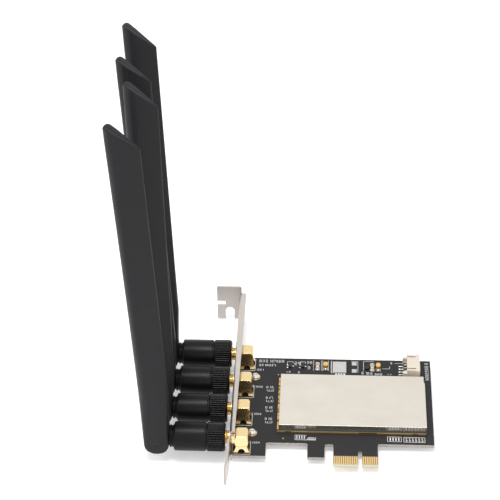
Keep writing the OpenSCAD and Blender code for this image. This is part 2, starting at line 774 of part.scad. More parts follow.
swivel_body(4);  // swivel_body_4
plug_shell(1);  // plug_shell_1
plug_shell(2);  // plug_shell_2
plug_shell(3);  // plug_shell_3
plug_shell(4);  // plug_shell_4
plug_pin(1);  // plug_pin_1
plug_pin(2);  // plug_pin_2
plug_pin(3);  // plug_pin_3
plug_pin(4);  // plug_pin_4
hinge_pin(1);  // hinge_pin_1
hinge_pin(2);  // hinge_pin_2
hinge_pin(3);  // hinge_pin_3
hinge_pin(4);  // hinge_pin_4
paddle_front(1);  // paddle_front_1
paddle_front(2);  // paddle_front_2
paddle_front(3);  // paddle_front_3
paddle_front(4);  // paddle_front_4
paddle_back(1);  // paddle_back_1
paddle_back(2);  // paddle_back_2
paddle_back(3);  // paddle_back_3
paddle_back(4);  // paddle_back_4
radiator(1);  // radiator_1
radiator(2);  // radiator_2
radiator(3);  // radiator_3
radiator(4);  // radiator_4
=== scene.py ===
"""Looks of the radio card: plated, moulded and printed surfaces round a fixed frame, in a plain studio.

Lengths in this script are in millimetres, from the card's own corner unless a comment says otherwise.
MM turns them to the frame's metres."""
import json
import math

import bmesh
import bpy
import numpy as np
from mathutils import Euler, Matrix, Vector

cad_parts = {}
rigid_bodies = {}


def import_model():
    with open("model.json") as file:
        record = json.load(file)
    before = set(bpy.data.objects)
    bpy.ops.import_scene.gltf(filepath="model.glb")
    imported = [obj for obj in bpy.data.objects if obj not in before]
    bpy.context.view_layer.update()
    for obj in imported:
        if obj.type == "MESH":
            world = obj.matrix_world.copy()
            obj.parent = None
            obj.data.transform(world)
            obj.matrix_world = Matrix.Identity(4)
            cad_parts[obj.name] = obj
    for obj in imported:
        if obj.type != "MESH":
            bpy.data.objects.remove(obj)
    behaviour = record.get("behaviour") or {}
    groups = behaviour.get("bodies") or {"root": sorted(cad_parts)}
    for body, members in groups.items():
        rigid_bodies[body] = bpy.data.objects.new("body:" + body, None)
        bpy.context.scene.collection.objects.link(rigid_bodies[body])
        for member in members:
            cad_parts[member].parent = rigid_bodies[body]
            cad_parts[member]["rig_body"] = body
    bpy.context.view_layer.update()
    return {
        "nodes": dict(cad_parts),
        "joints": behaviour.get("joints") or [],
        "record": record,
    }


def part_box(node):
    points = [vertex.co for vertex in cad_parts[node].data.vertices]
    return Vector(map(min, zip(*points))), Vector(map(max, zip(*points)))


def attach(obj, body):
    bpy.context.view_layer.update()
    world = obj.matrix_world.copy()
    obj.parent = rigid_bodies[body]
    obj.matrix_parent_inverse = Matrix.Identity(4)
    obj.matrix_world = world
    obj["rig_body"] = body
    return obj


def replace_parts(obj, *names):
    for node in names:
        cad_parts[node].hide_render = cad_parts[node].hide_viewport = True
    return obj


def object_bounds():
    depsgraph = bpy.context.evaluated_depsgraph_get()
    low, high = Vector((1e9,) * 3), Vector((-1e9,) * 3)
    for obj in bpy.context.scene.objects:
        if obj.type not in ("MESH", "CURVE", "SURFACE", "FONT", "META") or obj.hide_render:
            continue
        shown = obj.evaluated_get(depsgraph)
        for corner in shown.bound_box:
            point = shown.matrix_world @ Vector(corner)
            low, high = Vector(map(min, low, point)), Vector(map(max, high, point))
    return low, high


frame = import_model()

MM = 0.001
JOINTS = {joint["name"]: joint for joint in frame["joints"]}
ANTENNAS = (1, 2, 3, 4)
SLOTS = {part["node"]: part["material_slot"] for part in frame["record"]["subparts"]}

# The card's own corner: bracket's outer face, contacts' edge and the board's upper side
board_low, board_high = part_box("main_board")
CORNER = np.array([JOINTS["nut_spin_1"]["pos_m"][0], board_low.y, board_high.z])
# Board thickness, and the rows and height of the jacks' axes
BOARD_T = (board_high.z - board_low.z) / MM
JACK_Y = [(JOINTS[f"nut_spin_{i}"]["pos_m"][1] - CORNER[1]) / MM for i in ANTENNAS]
AXIS_Z = (JOINTS["nut_spin_1"]["pos_m"][2] - CORNER[2]) / MM


def near_box(node):
    """The box of a CAD node in millimetres from the card's corner."""
    low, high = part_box(node)
    return (np.array(low) - CORNER) / MM, (np.array(high) - CORNER) / MM


# Shaders

class Sum:
    """A node's output in a sum: each operator adds one Math node."""

    def __init__(self, paint, socket):
        self.paint = paint
        self.socket = socket

    def math(self, operation, *values):
        """One Math node over the values, in the order of its inputs."""
        return self.paint.node("Math", {"operation": operation}, dict(enumerate(values)))

    def __add__(self, other):
        return self.math("ADD", self, other)

    def __radd__(self, other):
        return self.math("ADD", other, self)

    def __sub__(self, other):
        return self.math("SUBTRACT", self, other)

    def __rsub__(self, other):
        return self.math("SUBTRACT", other, self)

    def __mul__(self, other):
        return self.math("MULTIPLY", self, other)

    def __rmul__(self, other):
        return self.math("MULTIPLY", other, self)

    def __truediv__(self, other):
        return self.math("DIVIDE", self, other)

    def __gt__(self, other):
        return self.math("GREATER_THAN", self, other)

    def __lt__(self, other):
        return self.math("LESS_THAN", self, other)

    def __abs__(self):
        return self.math("ABSOLUTE", self)


class Paint:
    """One material: a Principled shader and the nodes that feed it."""

    def __init__(self, name, colour=(0.5, 0.5, 0.5), rough=0.5, metal=0.0, **plain):
        self.material = bpy.data.materials.new(name)
        self.material.use_nodes = True
        self.tree = self.material.node_tree
        self.shader = self.tree.nodes["Principled BSDF"]
        self.material.diffuse_color = (*colour, 1)
        self.feed("Base Color", (*colour, 1))
        self.feed("Roughness", rough)
        self.feed("Metallic", metal)
        for socket, value in plain.items():
            self.feed(socket.replace("_", " "), value)

    def node(self, kind, settings=None, sockets=None, output=0):
        """Adds a node: its settings first, then the values or links of its sockets."""
        made = self.tree.nodes.new("ShaderNode" + kind)
        for key, value in (settings or {}).items():
            if key == "stops":
                self.set_stops(made.color_ramp, value)
            else:
                setattr(made, key, value)
        for key, value in (sockets or {}).items():
            self.join(value, made.inputs[key])
        return Sum(self, made.outputs[output])

    def set_stops(self, ramp, stops):
        """Stops of a colour ramp, as (position, colour) pairs from left to right."""
        while len(ramp.elements) < len(stops):
            ramp.elements.new(0.5)
        for element, (position, colour) in zip(ramp.elements, stops):
            element.position = position
            element.color = (*colour, 1)

    def join(self, value, socket):
        """Links a sum to a socket, or sets the socket to a plain value."""
        if isinstance(value, Sum):
            self.tree.links.new(value.socket, socket)
        else:
            socket.default_value = value

    def feed(self, socket, value):
        """Joins a value to one of the shader's own sockets."""
        self.join(value, self.shader.inputs[socket])

    def place(self):
        """The place on the object, in metres of the frame."""
        return self.node("TexCoord", output="Object")

    def from_corner(self):
        """The place on the card in millimetres from its corner, as three sums."""
        moved = self.node("VectorMath", {"operation": "SUBTRACT"}, {0: self.place(), 1: tuple(CORNER)})
        return [self.node("SeparateXYZ", None, {0: moved}, axis) / MM for axis in "XYZ"]

    def facing(self, axis):
        """The surface's own normal along one axis."""
        return self.node("SeparateXYZ", None, {0: self.node("TexCoord", output="Normal")}, axis)

    def noise(self, size, detail=3, stretch=(1, 1, 1), rough=0.5):
        """Noise whose patches measure about size millimetres, from 0 to 1."""
        scaled = self.node("Mapping", None, {0: self.place(), 3: tuple(s / (size * MM) for s in stretch)})
        sockets = {"Vector": scaled, "Scale": 1.0, "Detail": detail, "Roughness": rough}
        return self.node("TexNoise", None, sockets)

    def ramp(self, value, low, high):
        """value taken from low..high to 0..1."""
        return self.node("MapRange", None, {0: value, 1: low, 2: high, 3: 0.0, 4: 1.0})

    def either(self, first, second):
        """The greater of two masks."""
        return self.node("Math", {"operation": "MAXIMUM"}, {0: first, 1: second})

    def blend(self, mask, first, second):
        """Colour first where mask is 0, second where it is 1."""
        pick = [c if isinstance(c, Sum) else (*c, 1) for c in (first, second)]
        return self.node("Mix", {"data_type": "RGBA"}, {0: mask, 6: pick[0], 7: pick[1]}, 2)

    def bump(self, height, depth):
        """Raises the surface by height times depth millimetres."""
        sockets = {"Strength": 1.0, "Distance": depth * MM, "Height": height}
        self.feed("Normal", self.node("Bump", None, sockets))


def wear(paint, colour, size, spread, rough, grain, depth=0.0):
    """Slow patches of colour and roughness, and a fine grain: the base of every finish."""
    patches = paint.noise(size, 4)
    darker = tuple(c * (1 - spread) for c in colour)
    lighter = tuple(min(1, c * (1 + spread)) for c in colour)
    paint.feed("Base Color", paint.blend(patches, darker, lighter))
    paint.feed("Roughness", rough + grain * (paint.noise(size / 3, 5) - 0.5))
    if depth:
        paint.bump(paint.noise(size / 20, 2), depth)
    return paint


# The contact edge: its sides, how far it is free of solder mask, and its bevel
CONTACT_X = (46.5, 68)
BARE_Y = 6.3
BEVEL_Y = 1.3


def laminate_paint():
    """Black solder mask on the faces, bare glass laminate on the edges and among the contacts."""
    paint = Paint("board_laminate", Specular_IOR_Level=0.22)
    x, y, z = paint.from_corner()
    face = abs(paint.facing("Z")) > 0.9
    among_contacts = (x > CONTACT_X[0]) * (x < CONTACT_X[1])
    weave = paint.noise(1.1, 2, (1, 1, 4))
    mask = paint.blend(paint.noise(9, 3), (0.02, 0.02, 0.021), (0.028, 0.027, 0.029))
    core = paint.blend(paint.ramp(weave, 0.35, 0.7), (0.42, 0.37, 0.33), (0.68, 0.63, 0.57))
    edge = paint.blend(abs(z + BOARD_T / 2) > BOARD_T * 0.42, core, (0.05, 0.05, 0.05))
    bevel = paint.blend(weave, (0.6, 0.56, 0.4), (0.74, 0.7, 0.54))
    lands = paint.blend(weave, (0.12, 0.085, 0.04), (0.19, 0.14, 0.07))
    colour = paint.blend(face, edge, mask)
    colour = paint.blend((y < BARE_Y) * among_contacts * face, colour, lands)
    colour = paint.blend((y < BEVEL_Y) * among_contacts, colour, bevel)
    paint.feed("Base Color", colour)
    paint.feed("Roughness", 0.42 + 0.3 * (1 - face) + 0.1 * paint.noise(4, 4))
    paint.bump(paint.noise(0.35, 2), 0.006)
    return paint.material


# The gold rim along the module's left side, and the dashes that it is cut into
RIM_WIDE = 0.7
RIM_DEEP = 0.1
DASH_PITCH = 6.0
DASH_GAP = 0.9


def module_paint():
    """Dark laminate with gold plated sides, whose lower half carries painted shade in near black brown,
    and a dashed gold rim.
    """
    paint = Paint("module_laminate")
    x, y, z = paint.from_corner()
    low, high = near_box("module_board")
    side = abs(paint.facing("Z")) < 0.5
    dash = paint.node("Math", {"operation": "WRAP"}, {0: y - low[1], 1: DASH_PITCH, 2: 0.0}) > DASH_GAP
    rim = (x < low[0] + RIM_WIDE) * (z > high[2] - RIM_DEEP)
    dashed = paint.either(abs(paint.facing("X")) > 0.5, rim)
    not_right = x < high[0] - 0.4
    gold = paint.either(side, rim) * not_right * (1 - dashed * (1 - dash))
    worn = paint.ramp(paint.noise(2.4, 4, (1, 1, 5)), 0.3, 0.7)
    layers = paint.ramp(abs(z - (low[2] + high[2]) / 2), 0.2, 0.5)
    plated = paint.blend(worn, (0.5, 0.27, 0.075), (0.86, 0.6, 0.25))
    plated = paint.blend(layers * side * 0.6, plated, (0.95, 0.72, 0.36))
    # Painted shade: the lower half of the plated sides is blended towards near black brown.
    painted_shade_lower_half = z < low[2] + 0.45 * (high[2] - low[2])
    plated = paint.blend(painted_shade_lower_half * side * 0.8, plated, (0.12, 0.07, 0.03))
    paint.feed("Base Color", paint.blend(gold, (0.03, 0.034, 0.028), plated))
    paint.feed("Metallic", gold * (1 - 0.45 * side))
    paint.feed("Roughness", 0.5 - 0.1 * gold)
    paint.bump(paint.noise(0.5, 3), 0.01)
    return paint.material


def shield_paint():
    """Drawn nickel silver: a satin lid with faint smears and rolled grain, glossier walls."""
    paint = Paint("shield_nickel", metal=1.0)
    lid = paint.facing("Z") > 0.7
    smears = paint.noise(11, 5, (1, 1.5, 1), 0.6)
    lines = paint.noise(0.5, 2, (0.05, 1.6, 1))
    paint.feed("Base Color", paint.blend(smears, (0.67, 0.62, 0.54), (0.76, 0.715, 0.645)))
    satin = 0.3 + 0.16 * smears + 0.05 * lines
    paint.feed("Roughness", satin * lid + 0.24 * (1 - lid))
    paint.bump(lines + smears * 1.5, 0.004)
    return paint.material


def steel_paint():
    """Nickel plated sheet with a rolled grain along its length; its upright faces carry painted shade, a
    darker copy of its colour.
    """
    paint = Paint("bracket_steel", metal=1.0)
    grain = paint.noise(0.35, 3, (1, 0.06, 1))
    cloud = paint.noise(8, 4)
    # Painted shade: faces that stand upright take a darker copy of the sheet's colour.
    shaded_upright_face = abs(paint.facing("Z")) < 0.5
    bright = paint.blend(cloud, (0.56, 0.52, 0.47), (0.69, 0.64, 0.59))
    painted_shade_tone = paint.blend(cloud, (0.4, 0.365, 0.345), (0.5, 0.46, 0.44))
    paint.feed("Base Color", paint.blend(shaded_upright_face, bright, painted_shade_tone))
    paint.feed("Roughness", 0.2 + 0.1 * cloud + 0.12 * grain)
    paint.bump(grain, 0.003)
    return paint.material


def jack_paint():
    """Gold plating over a turned and milled brass body: patches of tone, fine tool marks."""
    paint = Paint("jack_gold", metal=1.0)
    patches = paint.noise(3, 4)
    marks = paint.noise(0.5, 2, (3, 0.4, 1))
    paint.feed("Base Color", paint.blend(patches, (0.87, 0.66, 0.33), (0.94, 0.75, 0.43)))
    paint.feed("Roughness", 0.15 + 0.1 * patches + 0.08 * marks)
    paint.bump(paint.noise(0.6, 3) + marks * 0.5, 0.006)
    return paint.material


def moulded_paint(name, colour, rough, fine, shine=0.22):
    """Moulded plastic: a fine spark texture with slow change of gloss."""
    paint = Paint(name, Specular_IOR_Level=shine)
    wear(paint, colour, 14, 0.12, rough, 0.1)
    paint.bump(paint.noise(fine, 3), 0.022)
    return paint.material


def metal_paint(name, colour, rough):
    """Plated metal, slightly patchy."""
    paint = Paint(name, metal=1.0)
    return wear(paint, colour, 2.5, 0.1, rough, 0.14, 0.004).material


def plain_paint(name, colour, rough, spread=0.1):
    """Moulded, fired or printed surface, slightly patchy."""
    paint = Paint(name, Specular_IOR_Level=0.5)
    return wear(paint, colour, 2.5, spread, rough, 0.12, 0.008).material


def tantalum_paint():
    """Yellow moulding, brown at its near end and darker towards its far one."""
    paint = Paint("tantalum_yellow", Specular_IOR_Level=0.5)
    low, high = near_box("tantalum_capacitors")
    along = paint.ramp(paint.from_corner()[1], float(low[1]), float(high[1]))
    stops = [(0.0, (0.42, 0.2, 0.03)), (0.16, (0.75, 0.4, 0.05)), (0.5, (0.86, 0.56, 0.12)),
             (0.8, (0.84, 0.5, 0.1)), (0.9, (0.66, 0.38, 0.08))]
    paint.feed("Base Color", paint.node("ValToRGB", {"stops": stops}, {0: along}))
    paint.feed("Roughness", 0.38 + 0.1 * paint.noise(0.6))
    paint.bump(paint.noise(0.3), 0.01)
    return paint.material


def ceramic_paint():
    """Sintered body between two tinned ends."""
    paint = Paint("ceramic_pink", Specular_IOR_Level=0.5)
    low, high = near_box("ceramic_capacitors")
    body_half = 0.96
    end = abs(paint.from_corner()[1] - (low[1] + high[1]) / 2) > body_half
    body = paint.blend(paint.noise(0.8), (0.5, 0.3, 0.2), (0.62, 0.42, 0.31))
    paint.feed("Base Color", paint.blend(end, body, (0.72, 0.7, 0.66)))
    paint.feed("Metallic", end)
    paint.feed("Roughness", 0.36 - 0.08 * end)
    paint.bump(paint.noise(0.3), 0.01)
    return paint.material


GOLD = (0.9, 0.66, 0.31)
BLACK = (0.006, 0.006, 0.0064)
PAINTS = {
    "board_laminate": laminate_paint(),
    "contact_gold": metal_paint("contact_gold", (0.88, 0.62, 0.28), 0.22),
    "bracket_steel": steel_paint(),
    "screw_nickel": metal_paint("screw_nickel", (0.8, 0.78, 0.76), 0.14),
    "jack_gold": jack_paint(),
    "insulator_white": plain_paint("insulator_white", (0.82, 0.8, 0.74), 0.5),
    "pin_gold": metal_paint("pin_gold", GOLD, 0.18),
    "module_laminate": module_paint(),
    "shield_nickel": shield_paint(),
    "chip_black": plain_paint("chip_black", (0.02, 0.02, 0.021), 0.55),
    "header_ivory": plain_paint("header_ivory", (0.77, 0.69, 0.57), 0.36, 0.03),
    "header_tin": metal_paint("header_tin", (0.72, 0.71, 0.68), 0.25),
    "transistor_black": plain_paint("transistor_black", (0.012, 0.012, 0.013), 0.5),
    "tantalum_yellow": tantalum_paint(),
    "ceramic_pink": ceramic_paint(),
    "resistor_ceramic": plain_paint("resistor_ceramic", (0.09, 0.045, 0.035), 0.4),
    "inductor_black": plain_paint("inductor_black", (0.012, 0.012, 0.012), 0.4),
    "grip_black": moulded_paint("grip_black", BLACK, 0.27, 0.3, 0.16),
    "insert_brass": metal_paint("insert_brass", (0.8, 0.56, 0.24), 0.24),
    "swivel_black": moulded_paint("swivel_black", BLACK, 0.36, 0.35, 0.17),
    "plug_brass": metal_paint("plug_brass", (0.82, 0.58, 0.26), 0.24),
    "plug_pin_gold": metal_paint("plug_pin_gold", GOLD, 0.18),
    "hinge_black": plain_paint("hinge_black", (0.02, 0.02, 0.021), 0.4),
    "paddle_black": moulded_paint("paddle_black", (0.0138, 0.0138, 0.0158), 0.47, 0.28),
    "radiator_laminate": plain_paint("radiator_laminate", (0.45, 0.22, 0.08), 0.4),
}
INK = plain_paint("printed_ink", (0.74, 0.75, 0.74), 0.6, 0.12)
SOLDER = metal_paint("solder_tin", (0.66, 0.645, 0.62), 0.24)
PAD_GOLD = metal_paint("pad_gold", (0.78, 0.5, 0.2), 0.3)


def finish_nodes():
    """Every CAD node takes its paint from its material slot in the record."""
    for name, node in frame["nodes"].items():
        node.data.materials.clear()
        node.data.materials.append(PAINTS[SLOTS[name]])


# Mesh making

def grid_faces(rows, columns, closed=False):
    """Quads between neighbours of a grid of points; closed also joins its last column to its first."""
    i, j = np.meshgrid(np.arange(rows - 1), np.arange(columns - (not closed)), indexing="ij")
    first = i * columns + j
    second = i * columns + (j + 1) % columns
    return np.stack([first, second, second + columns, first + columns], -1).reshape(-1, 4)


def build(name, parts, paint, body, sharp=32):
    """One mesh of several (points in metres, faces) parts, closed, with its faces turned outwards."""
    start, points, faces = 0, [], []
    for part_points, part_faces in parts:
        flat = np.asarray(part_points, float).reshape(-1, 3)
        points.append(flat)
        faces.extend((np.asarray(face) + start).tolist() for face in part_faces)
        start += len(flat)
    mesh = bpy.data.meshes.new(name)
    mesh.from_pydata(np.concatenate(points), [], faces)
    return settle(name, mesh, paint, body, sharp)


def settle(name, mesh, paint, body, sharp, bevel=0.0):
    """Merges doubled points, turns the faces outwards, shades, and lets the piece ride on its body.
    Edges sharper than sharp degrees stay sharp; bevel rounds them, in millimetres."""
    work = bmesh.new()
    work.from_mesh(mesh)
    bmesh.ops.remove_doubles(work, verts=work.verts, dist=2e-7)
    bmesh.ops.dissolve_degenerate(work, edges=work.edges, dist=1e-8)
    bmesh.ops.recalc_face_normals(work, faces=work.faces)
    work.to_mesh(mesh)
    work.free()
    mesh.polygons.foreach_set("use_smooth", np.ones(len(mesh.polygons), bool))
    mesh.set_sharp_from_angle(angle=math.radians(sharp))
    mesh.materials.clear()
    mesh.materials.append(paint)
    piece = bpy.data.objects.new(name, mesh)
    bpy.context.scene.collection.objects.link(piece)
    if bevel:
        rounding = piece.modifiers.new("rounding", "BEVEL")
        rounding.width = bevel * MM
        rounding.segments = 2
        rounding.limit_method = "ANGLE"
        rounding.angle_limit = math.radians(35)
        rounding.harden_normals = True
    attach(piece, body)
    return piece


def softened(node, bevel):
    """A copy of a CAD node with its edges rounded by bevel millimetres, which stands for the node."""
    source = frame["nodes"][node]
    work = bmesh.new()
    work.from_mesh(source.data)
    bmesh.ops.remove_doubles(work, verts=work.verts, dist=1e-6)
    bmesh.ops.dissolve_limit(work, angle_limit=math.radians(1), verts=work.verts, edges=work.edges)
    mesh = bpy.data.meshes.new(f"{node}_finish")
    work.to_mesh(mesh)
    work.free()
    slot = SLOTS[node]
    piece = settle(mesh.name, mesh, PAINTS[slot], source["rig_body"], 32, bevel)
    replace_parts(piece, node)


def rounded(corners, steps=4):
    """A profile with round corners. A corner is (along, radius, bend), and the quadratic curve from
    one bend before it to one bend after it takes its place."""
    spots = np.array([corner[:2] for corner in corners], float)
    line = [spots[0]]
    for before, here, after, (_, _, bend) in zip(spots, spots[1:], spots[2:], corners[1:]):
        reach = min(bend, np.linalg.norm(here - before) * 0.49, np.linalg.norm(after - here) * 0.49)
        if reach <= 0:
            line.append(here)
            continue
        start = here + (before - here) * reach / np.linalg.norm(before - here)
        end = here + (after - here) * reach / np.linalg.norm(after - here)
        for k in np.linspace(0, 1, steps):
            line.append((1 - k) ** 2 * start + 2 * k * (1 - k) * here + k ** 2 * end)
    line.append(spots[-1])
    return np.array(line)


def turned(profile, columns=72, reach=None):
    """A profile of (along, radius) carried once round the x axis: x = along, y = r cos t, z = r sin t.
    reach, a function of (along, angle), is taken from the radius."""
    angle = np.linspace(0, 2 * np.pi, columns, endpoint=False)
    along, radius = np.asarray(profile, float).T
    along, radius = along[:, None] + 0 * angle, radius[:, None] + 0 * angle
    if reach is not None:
        radius = radius - reach(along, angle)
    points = np.stack([along, radius * np.cos(angle), radius * np.sin(angle)], -1)
    return points, grid_faces(len(along), columns, closed=True)


def upright(part):
    """The same part with its x axis turned to z."""
    points, faces = part
    return points[..., [1, 2, 0]], faces


def on_card(part, shift=(0, 0, 0)):
    """Millimetres from the card's corner, as metres of the frame."""
    points, faces = part
    return (points + np.asarray(shift, float)) * MM + CORNER, faces


def slabs(rectangles, low, high):
    """Thin upright boxes over rectangles (x0, y0, x1, y1), from height low to high."""
    x0, y0, x1, y1 = np.asarray(rectangles, float).T
    ring = np.stack([np.stack([x0, x1, x1, x0]), np.stack([y0, y0, y1, y1])], -1).transpose(1, 0, 2)
    levels = [np.concatenate([ring, np.full(ring.shape[:2] + (1,), z)], -1) for z in (low, high)]
    points = np.concatenate(levels, 1)
    side = [[k, (k + 1) % 4, 4 + (k + 1) % 4, 4 + k] for k in range(4)]
    quads = np.array([[3, 2, 1, 0], [4, 5, 6, 7], *side])
    faces = quads[None] + 8 * np.arange(len(points))[:, None, None]
    return points.reshape(-1, 3), faces.reshape(-1, 4)


def blobs(spots, rows=5, columns=12):
    """Solder drops: over each (x, y, half width, half depth, height), an ellipsoid from a little below
    its widest ring to its top, x = a cos v cos t, y = b cos v sin t, z = h sin v, with a flat base."""
    t = np.linspace(0, 2 * np.pi, columns, endpoint=False)
    v = np.linspace(-0.25, np.pi / 2, rows)[:, None]
    x, y, a, b, h = np.asarray(spots, float).T[:, :, None, None]
    height = h * np.sin(v) + 0 * t
    points = np.stack([x + a * np.cos(v) * np.cos(t), y + b * np.cos(v) * np.sin(t), height], -1)
    faces = grid_faces(rows, columns, closed=True)
    parts = [(drop, faces) for drop in points]
    parts += [(drop[0], [np.arange(columns)]) for drop in points]
    return parts


# Antennas

# Paddle, from its hinge: height, fall of the slanted tip, half widths at nose and tail, and where
# the crease runs, as a share of the width
PADDLE_LEN = 180.0
TIP_DROP = 13.2
NOSE_X = 6.6
TAIL_X = 7.3
CREASE = 0.28
# Round foot: half width, depth below the hinge, and thickness at foot and tip
FOOT_R = 5.95
FOOT_LOW = 5.83
FOOT_T = 12.4
TIP_T = 6.0
# Fork: half its gap and its height; then half the gap between the shells, plain and at the tip
FORK_GAP = 2.28
FORK_TOP = 5.5
SHELL_GAP = 0.015
SEAM = 0.13
# Rows of the tip: share of the climb from the last straight row, lift, and share of the thickness.
# The first sunken row rounds the rim, and the second cuts a fine line beside it.
TIP_START = PADDLE_LEN - 20
TIP_ROWS = [(share, 0.0, 1.0) for share in np.linspace(0.06, 0.94, 14)]
TIP_ROWS += [(0.97, 0, 1), (1, -0.14, 0.985), (1, 0, 0.93), (1, 0, 0.87), (1, -0.22, 0.85),
             (1, 0, 0.8), (1, 0, 0.3)]
# Swivel: barrel, boss behind the coupling nut, neck, hinge tongue and the hinge's place
SWIVEL_LEN = 14.4
BOSS_LEN = 0.55
BOSS_R = 6.1
NECK_R = 5.2
NECK_LEN = 2
TONGUE_R = 4.3
HINGE_X = (JOINTS["paddle_tilt_1"]["pos_m"][0] - CORNER[0]) / MM
# Coupling nut: ridges, their depth and the bore
RIDGES = 38
RIDGE_DEPTH = 0.46
GRIP_BORE = 4.6


def antenna_axes(i):
    """The swivel's own x, y and z directions: y lies against the paddle's hinge axis."""
    across = -np.array(JOINTS[f"paddle_tilt_{i}"]["axis"])
    ahead = np.array([1.0, 0.0, 0.0])
    return np.stack([ahead, across, np.cross(ahead, across)])


def on_swivel(i, part):
    """Millimetres along the swivel's own axes, as metres of the frame."""
    points, faces = part
    pivot = np.array(JOINTS[f"antenna_swivel_{i}"]["pos_m"])
    return np.asarray(points) * MM @ antenna_axes(i) + pivot, faces


def on_paddle(i, part):
    """Millimetres along the paddle's own axes, which lean from the swivel's by the tilt's lower limit."""
    points, faces = part
    hinge = JOINTS[f"paddle_tilt_{i}"]
    lean = math.radians(-hinge["range_deg"][0])
    turn = np.array([[math.cos(lean), 0, math.sin(lean)],
                     [0, 1, 0],
                     [-math.sin(lean), 0, math.cos(lean)]])
    return np.asarray(points) * MM @ (turn @ antenna_axes(i)) + np.array(hinge["pos_m"]), faces


def smooth_step(value, low, high):
    """0 below low, 1 above high, and 3 k k - 2 k k k between them."""
    k = np.clip((value - low) / (high - low), 0, 1)
    return k * k * (3 - 2 * k)


def grow(z):
    """Height as a share of the paddle, (z + 2) / (length - 10), kept from 0 to 1."""
    return np.clip((z + 2) / (PADDLE_LEN - 10), 0, 1)


def chord_x(u, z):
    """Across the paddle from its nose, u = 0, to its tail, u = 1: x = -left + (left + right) u. The nose
    grows by a power of the height and the tail by a straight flare; below the hinge both end on the
    foot's ellipse."""
    left = FOOT_R + (NOSE_X - FOOT_R) * grow(z) ** 2.2
    right = FOOT_R - 0.1 + (TAIL_X - FOOT_R + 0.1) * np.clip((z - 6) / 20, 0, 1)
    rim = np.sqrt(np.clip(1 - (np.minimum(z, 0) / FOOT_LOW) ** 2, 0, None))
    left = np.where(z < 0, np.minimum(left, FOOT_R * rim), left)
    right = np.where(z < 0, (FOOT_R - 0.1) * rim, right)
    return -left + (left + right) * u


def half_thickness(u, z):
    """Half the paddle's thickness. The foot's section is a superellipse, (1 - |2 u - 1| ^ n) ^ (1 / n)
    with n from 7 to 3, which turns into a teardrop above: a quarter ellipse up to the crease, then a
    straight taper to the rounded tail. A shallow valley runs along the crease."""
    nose = np.sqrt(1 - np.clip((CREASE - u) / CREASE, 0, 1) ** 2)
    tail = 1 - 0.84 * np.clip((u - CREASE) / (1 - CREASE), 0, 1)
    tail = tail * np.sqrt(1 - np.clip((u - 0.955) / 0.045, 0, 1) ** 2 * 0.98)
    tear = np.where(u < CREASE, nose, tail)
    square = 7 - 4 * np.clip(z / 30, 0, 1)
    boxy = np.clip(1 - np.abs(2 * u - 1) ** square, 0, None) ** (1 / square)
    mix = np.clip(z / 60, 0, 1)
    half = (FOOT_T + (TIP_T - FOOT_T) * grow(z) ** 0.75) / 2
    valley = 0.2 * np.exp(-((u - CREASE) / 0.05) ** 2) * smooth_step(z, 25, 70)
    return (boxy * (1 - mix) + tear * mix) * half - valley


def tip_z(x):
    """Height of the slanted tip over x: a straight slope down to the tail, z = low + 0.92 (tail - x),
    which bends down by a square towards the nose."""
    slope = PADDLE_LEN - TIP_DROP + 0.92 * (TAIL_X - x)
    return slope - 2.4 * np.clip((-3.8 - x) / 2.8, 0, None) ** 2


def paddle_half(side):
    """One half shell: rows climb from the round foot to the slanted tip, and each row is a loop that
    goes out along the skin and back along the joint face, or along the fork's cheek at the foot."""
    u = (1 - np.cos(np.linspace(0, np.pi, 61))) / 2
    u = np.sort(np.concatenate([u, CREASE + np.array([-0.04, -0.02, 0, 0.02, 0.04])]))
    foot = -FOOT_LOW * np.cos(np.linspace(0.06, np.pi / 2, 16))
    fork = np.linspace(0, FORK_TOP, 12)
    blade = np.concatenate([np.linspace(FORK_TOP, 30, 24), np.linspace(31, TIP_START, 60)])
    heights = np.concatenate([foot, fork[1:], blade])
    open_fork = np.concatenate([np.ones(len(foot) + len(fork) - 1, bool), np.zeros(len(blade), bool)])
    edge_gap = 0.0085
    skin_u = np.where(open_fork[:, None], edge_gap + (1 - 2 * edge_gap) * u, u)
    z = heights[:, None] + 0 * u
    x = chord_x(skin_u, z)
    rim = np.clip((FOOT_R - np.hypot(x, np.minimum(z, 0) * FOOT_R / FOOT_LOW)) / 0.5, 0, 1)
    low = z < 0
    wide = (x + FOOT_R) / (2 * FOOT_R - 0.1)
    y = half_thickness(np.where(low, np.clip(wide, edge_gap, 1 - edge_gap), skin_u), z)
    inner = np.where(open_fork[:, None], FORK_GAP, SHELL_GAP) + 0 * u
    soft = np.sqrt(1 - (1 - rim) ** 2)
    y = np.where(low, inner + np.clip(y - inner, 0, None) * (0.96 + 0.04 * soft), y)
    dimple = 0.4 * np.exp(-(x ** 2 + z ** 2) / 0.7)
    y = np.maximum(y - dimple, inner)
    rows = [np.stack([x, y, z], -1)]
    inners = [inner]
    top = tip_z(chord_x(u, np.full_like(u, TIP_START)))
    for share, lift, squeeze in TIP_ROWS:
        across = chord_x(u, TIP_START + (top - TIP_START) * share)
        climb = TIP_START + (tip_z(across) - TIP_START) * share + lift
        thick = np.maximum(half_thickness(u, climb) * squeeze, 0.02)
        rows.append(np.stack([across, thick, climb], -1)[None])
        inners.append(np.full((1, len(u)), SEAM if share > 0.95 else SHELL_GAP))
    skin = np.concatenate(rows)
    joint = skin[:, ::-1].copy()
    joint[..., 1] = np.minimum(joint[..., 1], np.concatenate(inners)[:, ::-1])
    loop = np.concatenate([skin, joint], 1)
    loop[..., 1] *= side
    count = loop.shape[1]
    faces = grid_faces(len(loop), count, closed=True).tolist()
    half = len(u)
    strip = np.arange(half - 1)
    for row in (0, len(loop) - 1):
        first = row * count + strip
        second = row * count + 2 * half - 1 - strip
        faces += np.stack([first, first + 1, second - 1, second], -1).tolist()
    return loop, faces


